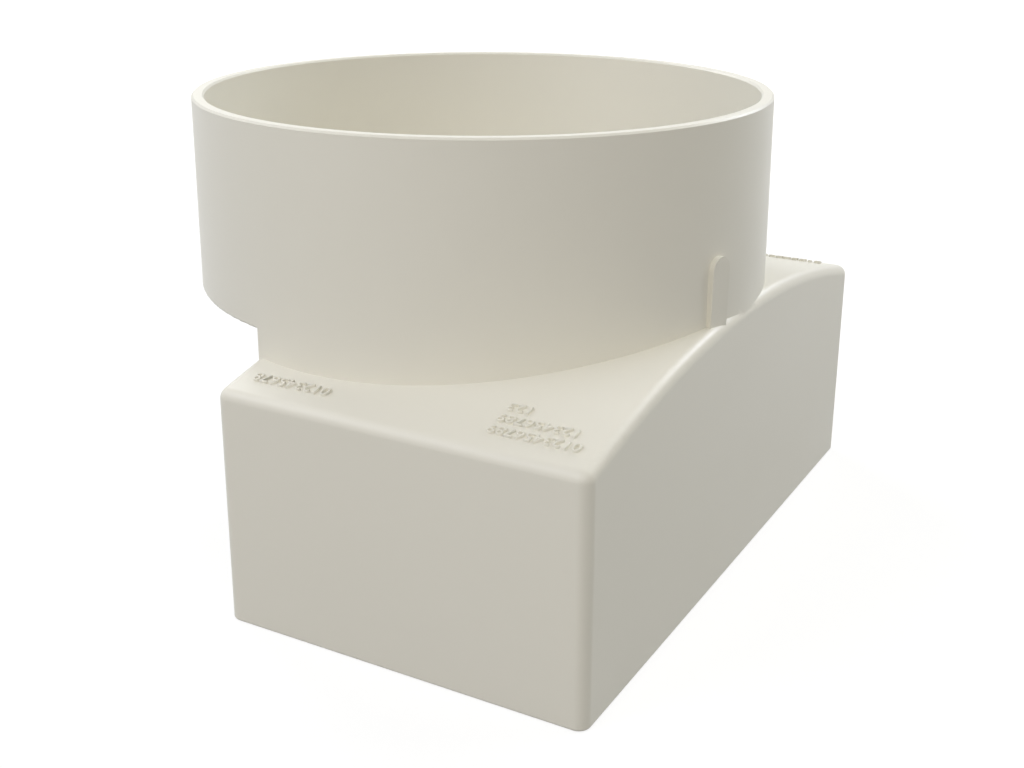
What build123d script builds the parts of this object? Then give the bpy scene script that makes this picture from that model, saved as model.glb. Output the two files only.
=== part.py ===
"""Downspout adapter: a round pipe socket over a rectangular downpipe socket, moulded in one piece.

The rectangular socket opens downwards and stands on its rim at Z = 0. The round socket opens upwards
on the Z axis. X runs across the narrow side of the rectangle and Y along its long side. All sizes
are in millimetres.
"""

import math
import os

from build123d import *

# Rectangular socket
rect_inside_width = 56.6
rect_inside_length = 107.6
wall = 2.5
end_height = 37.8
arch_rise = 7.4
outside_round = 1.9
inside_round = 1.0
roof_chamfer = 0.5

# Round socket
bore_diameter = 90.5
mouth_wall = 2.0
socket_depth = 28.8
floor_thickness = 2.3
stop_ledge = 1.5

# How the two sockets meet
socket_sink = 0.8
side_margin = 0.75
skirt_inset = 0.85
skirt_root = 8.0

# Mould details
box_draft = 0.5
socket_draft = 1.0
rim_chamfer = 0.3
foot_round = 0.5
crescent_round = 0.6

# Lug on the side of the round socket
lug_width = 4.2
lug_height = 11.0
lug_thickness = 0.7
lug_angle = -13.0
lug_root = 1.0

# How far a cutting shape runs past what it cuts
overrun = 3.0

# Heights
arch_top = end_height + arch_rise
overhang_z = arch_top - socket_sink
stop_z = overhang_z + floor_thickness
mouth_z = stop_z + socket_depth
skirt_z = overhang_z - skirt_root

# Radii of the round socket
bore_radius = bore_diameter / 2
mouth_radius = bore_radius + mouth_wall
passage_radius = bore_radius - stop_ledge
socket_slope = math.tan(math.radians(socket_draft))


def socket_radius(z):
    """Outside radius of the round socket at height z: it widens downwards by its draft."""
    return mouth_radius + (mouth_z - z) * socket_slope


# The long side of the rectangle runs just outside the round socket
rect_width = rect_inside_width + 2 * wall
rect_length = rect_inside_length + 2 * wall
rect_side_x = socket_radius(overhang_z) + side_margin
rect_centre_x = rect_side_x - rect_width / 2
skirt_x = rect_centre_x - rect_width / 2 + skirt_inset


def under_arch(half_span, end_z, top_z):
    """Upright face across the rectangle's middle, from below its rim up to an arch."""
    with BuildSketch(Plane.YZ.offset(rect_centre_x)) as profile:
        with BuildLine():
            crown = ThreePointArc((-half_span, end_z), (0, top_z), (half_span, end_z))
            Polyline(crown @ 1, (half_span, -overrun), (-half_span, -overrun), crown @ 0)
        make_face()
    return profile.sketch


# Radius of the outer arch, from its rise over half the length
half_length = rect_length / 2
arch_radius = (half_length**2 + arch_rise**2) / (2 * arch_rise)
ceiling_radius = arch_radius - wall
ceiling_drop = ceiling_radius - math.sqrt(ceiling_radius**2 - half_length**2)
ceiling_top = arch_top - wall

# Rectangular socket, outside
with BuildPart() as rect_body:
    with BuildSketch(Plane.XY):
        with Locations((rect_centre_x, 0)):
            Rectangle(rect_width, rect_length)
    extrude(amount=arch_top + overrun, taper=box_draft)
    under_roof = under_arch(half_length, end_height, arch_top)
    extrude(under_roof, amount=rect_width, both=True, mode=Mode.INTERSECT)
    roof_edges = rect_body.faces().sort_by(Axis.Z)[-1].edges()
    foot_edges = rect_body.faces().sort_by(Axis.Z)[0].edges()
    upright_edges = rect_body.edges() - roof_edges - foot_edges
    fillet(roof_edges + upright_edges, outside_round)
    fillet(rect_body.faces().sort_by(Axis.Z)[0].edges(), foot_round)

# Rectangular socket, inside
with BuildPart() as rect_hollow:
    with BuildSketch(Plane.XY):
        with Locations((rect_centre_x, 0)):
            Rectangle(rect_inside_width, rect_inside_length)
    extrude(amount=arch_top + overrun, taper=box_draft)
    under_ceiling = under_arch(half_length, ceiling_top - ceiling_drop, ceiling_top)
    extrude(under_ceiling, amount=rect_width, both=True, mode=Mode.INTERSECT)
    ceiling_edges = rect_hollow.faces().sort_by(Axis.Z)[-1].edges()
    mouth_edges = rect_hollow.faces().sort_by(Axis.Z)[0].edges()
    fillet(rect_hollow.edges() - ceiling_edges - mouth_edges, inside_round)
    chamfer(rect_hollow.faces().sort_by(Axis.Z)[-1].edges(), roof_chamfer)

# Round socket, outside: a drafted drum, cut away below its overhang on the far side of the skirt
with BuildPart() as round_body:
    with BuildSketch(Plane.XZ):
        Polygon(
            (0, skirt_z),
            (socket_radius(skirt_z), skirt_z),
            (mouth_radius, mouth_z),
            (0, mouth_z),
            align=None,
        )
    revolve(axis=Axis.Z)
    with BuildSketch(Plane.XY.offset(skirt_z)):
        with Locations((skirt_x, 0)):
            Rectangle(2 * mouth_radius, 3 * mouth_radius, align=(Align.MAX, Align.CENTER))
    extrude(amount=skirt_root, mode=Mode.SUBTRACT)
    overhang = round_body.faces().filter_by(Axis.Z).group_by(Axis.Z)[1]
    fillet(overhang.edges().filter_by(GeomType.CIRCLE), crescent_round)
    chamfer(round_body.faces().sort_by(Axis.Z)[-1].edges(), rim_chamfer)

# Round socket, inside: the bore, the passage through its floor and the room inside the skirt
with BuildPart() as round_hollow:
    with BuildSketch(Plane.XY.offset(stop_z)):
        Circle(bore_radius)
    extrude(amount=socket_depth)
    for radius, low, high in [
        (passage_radius, overhang_z, stop_z),
        (bore_radius, skirt_z, overhang_z),
    ]:
        with BuildSketch(Plane.XY.offset(low)):
            Circle(radius)
            with Locations((skirt_x + wall, 0)):
                Rectangle(
                    bore_diameter,
                    bore_diameter,
                    align=(Align.MAX, Align.CENTER),
                    mode=Mode.SUBTRACT,
                )
        extrude(amount=high - low)

# Lug with a round top and a flat face, standing on the shoulder
lug_plane = Plane(
    origin=Vector(socket_radius(overhang_z) - lug_root, 0, overhang_z).rotate(Axis.Z, lug_angle),
    x_dir=Vector(0, 1, 0).rotate(Axis.Z, lug_angle),
    z_dir=Vector(1, 0, 0).rotate(Axis.Z, lug_angle),
)
with BuildPart() as lug:
    with BuildSketch(lug_plane):
        with Locations((0, lug_height - lug_width / 2)):
            Circle(lug_width / 2)
            Rectangle(lug_width, lug_height, align=(Align.CENTER, Align.MAX))
    extrude(amount=lug_root + lug_thickness)

# The moulding
with BuildPart() as adapter:
    add(rect_body.part)
    add(round_body.part)
    add(lug.part)
    add(rect_hollow.part, mode=Mode.SUBTRACT)
    add(round_hollow.part, mode=Mode.SUBTRACT)
    rim = adapter.faces().sort_by(Axis.Z)[-1]
    chamfer(rim.inner_wires()[0].edges(), rim_chamfer)
    foot = adapter.faces().sort_by(Axis.Z)[0]
    fillet(foot.inner_wires()[0].edges(), foot_round)

adapter.part.label = "adapter"

os.makedirs("parts", exist_ok=True)
export_step(adapter.part, "parts/adapter.step")
print(f"height {mouth_z:.2f}, arch radius {arch_radius:.2f}, side {rect_side_x:.2f}, skirt {skirt_x:.2f}")
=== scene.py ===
"""The look of a downspout adapter: a round pipe socket moulded in one piece with a rectangular one.

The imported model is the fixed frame: X across the narrow side of the rectangular socket, Y along its long
side, Z up from its foot, with the round socket on the Z axis. The part's and the camera's sizes are in
millimetres, and are turned into Blender's metres where they are used. The studio's are in metres.
"""

import logging
import math
from dataclasses import dataclass
from enum import Enum

import bmesh
import bpy
from mathutils import Matrix, Vector

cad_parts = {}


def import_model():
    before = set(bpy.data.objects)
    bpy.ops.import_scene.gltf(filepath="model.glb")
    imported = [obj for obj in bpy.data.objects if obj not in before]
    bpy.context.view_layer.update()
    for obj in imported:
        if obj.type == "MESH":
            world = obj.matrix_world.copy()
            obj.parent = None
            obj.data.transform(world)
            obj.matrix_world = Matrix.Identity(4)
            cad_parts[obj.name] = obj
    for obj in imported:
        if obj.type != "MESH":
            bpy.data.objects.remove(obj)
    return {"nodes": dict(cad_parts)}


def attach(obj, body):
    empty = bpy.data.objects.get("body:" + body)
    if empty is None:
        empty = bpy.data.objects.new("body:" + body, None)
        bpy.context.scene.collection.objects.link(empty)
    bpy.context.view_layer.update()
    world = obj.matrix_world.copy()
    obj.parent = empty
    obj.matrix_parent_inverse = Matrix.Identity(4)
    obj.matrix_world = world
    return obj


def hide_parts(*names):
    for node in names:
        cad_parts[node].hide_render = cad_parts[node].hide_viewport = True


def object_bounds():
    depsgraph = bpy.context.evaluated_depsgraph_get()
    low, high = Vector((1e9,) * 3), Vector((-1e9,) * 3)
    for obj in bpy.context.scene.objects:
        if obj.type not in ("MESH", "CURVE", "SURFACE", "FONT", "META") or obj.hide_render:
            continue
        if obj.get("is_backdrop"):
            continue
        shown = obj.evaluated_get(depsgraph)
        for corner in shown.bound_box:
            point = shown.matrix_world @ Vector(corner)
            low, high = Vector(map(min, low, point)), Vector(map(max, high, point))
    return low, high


BODY = "root"
NODE = "adapter"
MM = 0.001

log = logging.getLogger("adapter")


def mm(*values: float) -> Vector:
    """Turns a point or a size in millimetres into metres.

    Args:
        values: The three coordinates.

    Returns:
        The same point in metres.
    """
    return Vector(values) * MM


def linear(code: str) -> tuple[float, float, float, float]:
    """Turns an sRGB colour into the linear values that shaders work with.

    Args:
        code: Six hex digits after a hash sign.

    Returns:
        Red, green and blue from 0 to 1, and an alpha of 1.
    """

    def channel(start: int) -> float:
        """One channel, from its place in the code."""
        value = int(code[start : start + 2], 16) / 255
        return value / 12.92 if value <= 0.04045 else ((value + 0.055) / 1.055) ** 2.4

    return channel(1), channel(3), channel(5), 1.0


def add_node(tree: bpy.types.NodeTree, kind: str, links: dict | None = None, **settings) -> bpy.types.Node:
    """Adds a node, sets it up and joins it to what feeds it.

    Args:
        tree: The shader or geometry tree.
        kind: The node's type name.
        links: For each input, by name or number, its value or the output that feeds it.
        settings: Properties of the node itself.

    Returns:
        The new node.
    """
    node = tree.nodes.new(kind)
    for name, value in settings.items():
        setattr(node, name, value)
    for name, value in (links or {}).items():
        socket = node.inputs[name]
        if isinstance(value, bpy.types.NodeSocket):
            tree.links.new(value, socket)
        else:
            socket.default_value = value
    return node


def seen_directly(tree: bpy.types.NodeTree) -> bpy.types.NodeSocket:
    """Tells light that is looked at, or seen in gloss or glass, from light that falls on matt surfaces.

    Args:
        tree: The shader tree.

    Returns:
        An output of 1 for camera, glossy and transmission rays, and 0 for all others.
    """
    path = add_node(tree, "ShaderNodeLightPath").outputs
    gloss = add_node(
        tree,
        "ShaderNodeMath",
        {0: path["Is Glossy Ray"], 1: path["Is Transmission Ray"]},
        operation="MAXIMUM",
    )
    seen = add_node(
        tree,
        "ShaderNodeMath",
        {0: path["Is Camera Ray"], 1: gloss.outputs["Value"]},
        operation="MAXIMUM",
    )
    return seen.outputs["Value"]


def make_object(name: str, mesh: bpy.types.Mesh, material: bpy.types.Material) -> bpy.types.Object:
    """Puts a mesh into the scene as an object at the origin.

    Args:
        name: The piece's name.
        mesh: Its mesh, in its place.
        material: Its finish.

    Returns:
        The new object.
    """
    piece = bpy.data.objects.new(name, mesh)
    bpy.context.scene.collection.objects.link(piece)
    mesh.materials.clear()
    mesh.materials.append(material)
    return piece


@dataclass(frozen=True)
class MouldedPvc:
    """Rigid PVC, pigmented ivory and injection moulded.

    The pigment goes all through, so the colour is even. The mould's fine spark-eroded steel leaves a satin
    skin: broad soft highlights along the rounds, none of them sharp, and a paler edge where it turns away.
    """

    colour: str = "#E3E0D4"
    shade: str = "#E0DDD0"
    roughness: float = 0.38
    roughness_swing: float = 0.05
    specular: float = 0.3
    ior: float = 1.46
    cloud_mm: float = 38.0
    grain_mm: float = 0.35
    grain_depth_mm: float = 0.0015
    waviness_mm: float = 16.0
    waviness_depth_mm: float = 0.02

    def material(self) -> bpy.types.Material:
        """Builds the procedural material.

        Returns:
            The finished material.
        """
        made = bpy.data.materials.new("Moulded ivory PVC")
        made.use_nodes = True
        tree = made.node_tree
        tree.nodes.clear()
        place = add_node(tree, "ShaderNodeTexCoord").outputs["Object"]
        cloud = add_node(
            tree,
            "ShaderNodeTexNoise",
            {"Vector": place, "Scale": 1 / (self.cloud_mm * MM), "Detail": 3.0, "Roughness": 0.5},
        )
        # Spark-eroded steel has pits of some 0.05 mm, too fine to show here, so they are drawn coarser
        grain = add_node(
            tree,
            "ShaderNodeTexNoise",
            {"Vector": place, "Scale": 1 / (self.grain_mm * MM), "Detail": 2.0},
        )
        waves = add_node(
            tree,
            "ShaderNodeTexNoise",
            {"Vector": place, "Scale": 1 / (self.waviness_mm * MM), "Detail": 1.0},
        )
        body = add_node(
            tree,
            "ShaderNodeMix",
            {"Factor": cloud.outputs["Fac"]},
            data_type="RGBA",
        )
        # Mix has its two colours after its numbers and its vectors
        for number, code in ((6, self.colour), (7, self.shade)):
            body.inputs[number].default_value = linear(code)
        satin = add_node(
            tree,
            "ShaderNodeMapRange",
            {
                "Value": cloud.outputs["Fac"],
                "To Min": self.roughness - self.roughness_swing,
                "To Max": self.roughness + self.roughness_swing,
            },
        )
        wavy = add_node(
            tree,
            "ShaderNodeBump",
            {"Height": waves.outputs["Fac"], "Distance": self.waviness_depth_mm * MM},
        )
        skin = add_node(
            tree,
            "ShaderNodeBump",
            {
                "Height": grain.outputs["Fac"],
                "Distance": self.grain_depth_mm * MM,
                "Normal": wavy.outputs["Normal"],
            },
        )
        shader = add_node(
            tree,
            "ShaderNodeBsdfPrincipled",
            {
                "Base Color": body.outputs[2],
                "Roughness": satin.outputs["Result"],
                "IOR": self.ior,
                "Specular IOR Level": self.specular,
                "Normal": skin.outputs["Normal"],
            },
        )
        add_node(tree, "ShaderNodeOutputMaterial", {"Surface": shader.outputs["BSDF"]})
        return made


@dataclass(frozen=True)
class StudioPaper:
    """Matt grey card, lit up to plain white for the camera, so that it takes a soft shadow.

    The light in it rises from the part's place outwards, where the boxes' own light runs out. It starts
    to rise near the part and is full at the far distance, both in metres.
    """

    colour: str = "#8C8C8A"
    near_glow: float = 0.78
    near: float = 0.25
    far: float = 0.9

    def material(self) -> bpy.types.Material:
        """Builds the floor's material.

        Returns:
            The finished material.
        """
        made = bpy.data.materials.new("Matt studio card")
        made.use_nodes = True
        tree = made.node_tree
        tree.nodes.clear()
        seen = seen_directly(tree)
        place = add_node(tree, "ShaderNodeTexCoord")
        reach = add_node(tree, "ShaderNodeVectorMath", {0: place.outputs["Object"]}, operation="LENGTH")
        glow = add_node(
            tree,
            "ShaderNodeMapRange",
            {
                "Value": reach.outputs["Value"],
                "From Min": self.near,
                "From Max": self.far,
                "To Min": self.near_glow,
                "To Max": 1.0,
            },
        )
        strength = add_node(
            tree,
            "ShaderNodeMath",
            {0: seen, 1: glow.outputs["Result"]},
            operation="MULTIPLY",
        )
        card = add_node(tree, "ShaderNodeBsdfDiffuse", {"Color": linear(self.colour)})
        lit = add_node(tree, "ShaderNodeEmission", {"Strength": strength.outputs["Value"]})
        both = add_node(tree, "ShaderNodeAddShader", {0: card.outputs["BSDF"], 1: lit.outputs["Emission"]})
        add_node(tree, "ShaderNodeOutputMaterial", {"Surface": both.outputs["Shader"]})
        return made


@dataclass
class Moulding:
    """The one-piece body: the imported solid's own shape, joined up and shaded as one smooth skin."""

    name: str = "moulding"
    smooth_angle: float = 32.0
    weld_mm: float = 0.0005
    sliver_share: float = 0.1
    large_face_weight: int = 80

    def mesh(self, source: bpy.types.Object) -> bpy.types.Mesh:
        """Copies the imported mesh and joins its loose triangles.

        Args:
            source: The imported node's object.

        Returns:
            The closed mesh.
        """
        shell = bmesh.new()
        shell.from_mesh(source.data)
        weld = self.weld_mm * MM
        bmesh.ops.remove_doubles(shell, verts=shell.verts, dist=weld)
        bmesh.ops.dissolve_degenerate(shell, edges=shell.edges, dist=weld * self.sliver_share)
        for face in shell.faces:
            face.smooth = True
        sharpest = math.radians(self.smooth_angle)
        for edge in shell.edges:
            edge.smooth = len(edge.link_faces) == 2 and edge.calc_face_angle() < sharpest
        mesh = bpy.data.meshes.new(self.name)
        shell.to_mesh(mesh)
        shell.free()
        return mesh

    def build(self, source: bpy.types.Object, material: bpy.types.Material) -> bpy.types.Object:
        """Makes the body and lets the larger faces set the shading of the rounds between them.

        Args:
            source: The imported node's object.
            material: Its finish.

        Returns:
            The finished piece.
        """
        piece = make_object(self.name, self.mesh(source), material)
        even = piece.modifiers.new("even_shading", "WEIGHTED_NORMAL")
        even.keep_sharp = True
        even.weight = self.large_face_weight
        bpy.context.view_layer.update()
        shaded = bpy.data.meshes.new_from_object(piece.evaluated_get(bpy.context.evaluated_depsgraph_get()))
        piece.modifiers.clear()
        piece.data = shaded
        return piece


class Reading(Enum):
    """Who can read a row of numbers on the shoulder: its turn about the upright axis, in degrees."""

    FROM_FRONT = 0.0
    FROM_BACK = 180.0


@dataclass
class NumberRows:
    """Plain raised numbers on the arched shoulder, cut into the mould, so they stand up square to it.

    Every line ends above the same point, and the first line stands furthest from the reader.
    """

    name: str
    lines: tuple[str, ...]
    end_x: float
    foot_y: float
    length: float
    height: float
    pitch: float = 2.65
    reading: Reading = Reading.FROM_BACK
    relief: float = 0.42
    root: float = 0.3
    edge_round: float = 0.06
    digit_share: float = 0.7

    def flat(self) -> bpy.types.Mesh:
        """Sets the numbers flat, a unit thick, at their place over the shoulder.

        Returns:
            The mesh, from 0 at the numbers' foot to 1 at their face.
        """
        type_face = bpy.data.curves.new(self.name, "FONT")
        type_face.body = "\n".join(self.lines)
        type_face.align_x = "RIGHT"
        type_face.resolution_u = 3
        # A digit takes up this share of the size that the type is set in
        type_face.size = self.height / self.digit_share
        type_face.space_line = self.pitch / type_face.size
        type_face.extrude = 0.5 - self.edge_round
        type_face.bevel_depth = self.edge_round
        type_face.bevel_resolution = 1
        type_face.offset = -self.edge_round
        holder = bpy.data.objects.new(self.name, type_face)
        bpy.context.scene.collection.objects.link(holder)
        bpy.context.view_layer.update()
        mesh = bpy.data.meshes.new_from_object(holder.evaluated_get(bpy.context.evaluated_depsgraph_get()))
        bpy.data.objects.remove(holder)
        low_x = min(vertex.co.x for vertex in mesh.vertices)
        high_x = max(vertex.co.x for vertex in mesh.vertices)
        high_y = max(vertex.co.y for vertex in mesh.vertices)
        widen = Matrix.Diagonal((self.length / (high_x - low_x), self.height / high_y, 1, 1))
        turn = Matrix.Rotation(math.radians(self.reading.value), 4, "Z")
        start = Matrix.Translation((-high_x, 0, 0.5))
        mesh.transform(Matrix.Translation((self.end_x, self.foot_y, 0)) @ turn @ widen @ start)
        mesh.transform(Matrix.Diagonal((MM, MM, 1, 1)))
        return mesh

    def seat_tree(self) -> bpy.types.GeometryNodeTree:
        """Builds the nodes that drop flat numbers onto a surface and raise them square to it.

        Returns:
            The geometry tree.
        """
        tree = bpy.data.node_groups.new("seat_on_surface", "GeometryNodeTree")
        for label, kind in (
            ("Geometry", "NodeSocketGeometry"),
            ("Surface", "NodeSocketObject"),
            ("Relief", "NodeSocketFloat"),
            ("Root", "NodeSocketFloat"),
            ("Drop", "NodeSocketFloat"),
            ("Material", "NodeSocketMaterial"),
        ):
            tree.interface.new_socket(label, in_out="INPUT", socket_type=kind)
        tree.interface.new_socket("Geometry", in_out="OUTPUT", socket_type="NodeSocketGeometry")
        given = add_node(tree, "NodeGroupInput").outputs
        surface = add_node(tree, "GeometryNodeObjectInfo", {"Object": given["Surface"]})
        here = add_node(tree, "GeometryNodeInputPosition")
        parts = add_node(tree, "ShaderNodeSeparateXYZ", {"Vector": here.outputs["Position"]})
        above = add_node(
            tree,
            "ShaderNodeCombineXYZ",
            {"X": parts.outputs["X"], "Y": parts.outputs["Y"], "Z": given["Drop"]},
        )
        landing = add_node(
            tree,
            "GeometryNodeRaycast",
            {
                "Target Geometry": surface.outputs["Geometry"],
                "Source Position": above.outputs["Vector"],
                "Ray Direction": (0.0, 0.0, -1.0),
                "Ray Length": given["Drop"],
            },
        )
        foot = add_node(tree, "ShaderNodeMath", {0: 0.0, 1: given["Root"]}, operation="SUBTRACT")
        rise = add_node(
            tree,
            "ShaderNodeMapRange",
            {"Value": parts.outputs["Z"], "To Min": foot.outputs["Value"], "To Max": given["Relief"]},
        )
        lift = add_node(
            tree,
            "ShaderNodeVectorMath",
            {0: landing.outputs["Hit Normal"], "Scale": rise.outputs["Result"]},
            operation="SCALE",
        )
        place = add_node(
            tree,
            "ShaderNodeVectorMath",
            {0: landing.outputs["Hit Position"], 1: lift.outputs["Vector"]},
            operation="ADD",
        )
        seated = add_node(
            tree,
            "GeometryNodeSetPosition",
            {"Geometry": given["Geometry"], "Position": place.outputs["Vector"]},
        )
        whole = add_node(tree, "GeometryNodeRealizeInstances", {"Geometry": seated.outputs["Geometry"]})
        dressed = add_node(
            tree,
            "GeometryNodeSetMaterial",
            {"Geometry": whole.outputs["Geometry"], "Material": given["Material"]},
        )
        add_node(tree, "NodeGroupOutput", {"Geometry": dressed.outputs["Geometry"]})
        return tree

    def build(self, shoulder: bpy.types.Object, material: bpy.types.Material) -> bpy.types.Object:
        """Makes the numbers and seats them.

        Args:
            shoulder: The piece that they stand on.
            material: Its finish, which is theirs too.

        Returns:
            The finished piece.
        """
        piece = make_object(self.name, self.flat(), material)
        seat = piece.modifiers.new("seat", "NODES")
        seat.node_group = self.seat_tree()
        sizes = {
            "Surface": shoulder,
            "Relief": self.relief * MM,
            "Root": self.root * MM,
            "Drop": max(corner[2] for corner in shoulder.bound_box) + MM,
            "Material": material,
        }
        for item in seat.node_group.interface.items_tree:
            if item.in_out == "INPUT" and item.name in sizes:
                seat[item.identifier] = sizes[item.name]
        bpy.context.view_layer.update()
        made = bpy.data.meshes.new_from_object(piece.evaluated_get(bpy.context.evaluated_depsgraph_get()))
        piece.modifiers.clear()
        piece.data = made
        return piece


@dataclass(frozen=True)
class SoftBox:
    """A soft light on a stand, aimed at the part: 0 degrees is in front of it and 90 at its right.

    Its sizes and distance are in metres and its power in watts.
    """

    name: str
    azimuth: float
    elevation: float
    width: float
    height: float
    power: float
    colour: str = "#FFFFFF"
    distance: float = 1.2

    def build(self, aim: Vector) -> bpy.types.Object:
        """Sets up the lamp.

        Args:
            aim: What it points at, in metres.

        Returns:
            The lamp.
        """
        data = bpy.data.lights.new(self.name, "AREA")
        data.shape = "RECTANGLE"
        data.size = self.width
        data.size_y = self.height
        data.energy = self.power
        data.color = linear(self.colour)[:3]
        turn, lift = math.radians(self.azimuth), math.radians(self.elevation)
        away = Vector((math.sin(turn) * math.cos(lift), -math.cos(turn) * math.cos(lift), math.sin(lift)))
        lamp = bpy.data.objects.new(self.name, data)
        lamp.location = aim + away * self.distance
        lamp.rotation_euler = away.to_track_quat("Z", "Y").to_euler()
        bpy.context.scene.collection.objects.link(lamp)
        return lamp


@dataclass(frozen=True)
class PhotoCamera:
    """The photograph's viewpoint: close to the part, a little above it and off its front corner."""

    x: float = 114.06
    y: float = -192.77
    z: float = 107.63
    azimuth: float = 29.392
    elevation: float = 20.724
    roll: float = 0.160
    lens: float = 46.99
    sensor: float = 36.0

    def build(self) -> bpy.types.Object:
        """Sets up the camera and makes it the scene's own.

        Returns:
            The camera.
        """
        data = bpy.data.cameras.new("photo_camera")
        data.lens = self.lens
        data.sensor_width = self.sensor
        data.clip_start = 0.01
        camera = bpy.data.objects.new("photo_camera", data)
        turn = Matrix.Rotation(math.radians(self.azimuth), 4, "Z")
        tilt = Matrix.Rotation(math.radians(90 - self.elevation), 4, "X")
        roll = Matrix.Rotation(math.radians(self.roll), 4, "Z")
        camera.matrix_world = Matrix.Translation(mm(self.x, self.y, self.z)) @ turn @ tilt @ roll
        bpy.context.scene.collection.objects.link(camera)
        bpy.context.scene.camera = camera
        return camera


@dataclass
class Studio:
    """The plain pale floor, the even light all round and the soft boxes. The floor's side is in metres."""

    floor_side: float = 6.0
    world_light: float = 0.12
    boxes: tuple[SoftBox, ...] = (
        SoftBox("front_box", 24.0, 33.0, 1.2, 0.6, 6.4, "#FFF9F2"),
        SoftBox("left_box", -48.0, 38.0, 1.1, 0.5, 7.6, "#F3F6FF"),
        SoftBox("rear_left_box", -120.0, 38.0, 0.5, 0.5, 4.4, "#FAFDFF"),
        SoftBox("side_box", 70.0, 45.0, 0.5, 0.5, 1.3, "#E6F0FF"),
        SoftBox("back_box", 150.0, 37.0, 1.2, 0.5, 6.6, "#FFFDF4"),
        SoftBox("low_back_box", 165.0, 30.0, 0.4, 0.3, 3.2, "#DFE9FF"),
    )

    def floor(self, material: bpy.types.Material) -> bpy.types.Object:
        """Lays the floor at the foot of the part.

        Args:
            material: The floor's finish.

        Returns:
            The floor, marked as stage.
        """
        sheet = bmesh.new()
        bmesh.ops.create_grid(sheet, x_segments=1, y_segments=1, size=self.floor_side / 2)
        mesh = bpy.data.meshes.new("studio_floor")
        sheet.to_mesh(mesh)
        sheet.free()
        floor = make_object("studio_floor", mesh, material)
        floor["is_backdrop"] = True
        return floor

    def world(self) -> None:
        """Sets an even light all round that is seen as plain white."""
        world = bpy.data.worlds.new("studio_air")
        bpy.context.scene.world = world
        world.use_nodes = True
        tree = world.node_tree
        tree.nodes.clear()
        level = add_node(
            tree,
            "ShaderNodeMapRange",
            {"Value": seen_directly(tree), "To Min": self.world_light, "To Max": 1.0},
        )
        air = add_node(
            tree,
            "ShaderNodeBackground",
            {"Color": linear("#FFFFFF"), "Strength": level.outputs["Result"]},
        )
        add_node(tree, "ShaderNodeOutputWorld", {"Surface": air.outputs["Background"]})

    def build(self, aim: Vector) -> None:
        """Sets up floor, world and lamps.

        Args:
            aim: The middle of the part, in metres.
        """
        self.floor(StudioPaper().material())
        self.world()
        for box in self.boxes:
            box.build(aim)
        bpy.context.scene.view_settings.view_transform = "Standard"


NUMBERS = (
    NumberRows("edge_numbers", ("012345678",), end_x=-8.8, foot_y=-50.35, length=13.4, height=1.8),
    NumberRows(
        "corner_numbers",
        ("0123456789", "123456789", "123"),
        end_x=30.75,
        foot_y=-50.5,
        length=13.9,
        height=1.65,
    ),
    NumberRows("far_numbers", ("012345678",), end_x=31.6, foot_y=49.55, length=13.4, height=1.8),
)


def main() -> None:
    """Builds the part's look around its frame."""
    logging.basicConfig(level=logging.INFO, format="%(name)s: %(message)s")
    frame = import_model()
    cad_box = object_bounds()
    skin = MouldedPvc().material()
    body = Moulding().build(frame["nodes"][NODE], skin)
    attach(body, BODY)
    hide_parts(NODE)
    pieces = [body]
    for rows in NUMBERS:
        pieces.append(rows.build(body, skin))
        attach(pieces[-1], BODY)
    for piece in pieces:
        log.info("%s: %d faces", piece.name, len(piece.data.polygons))
    Studio().build((cad_box[0] + cad_box[1]) / 2)
    PhotoCamera().build()


if __name__ == "__main__":
    main()
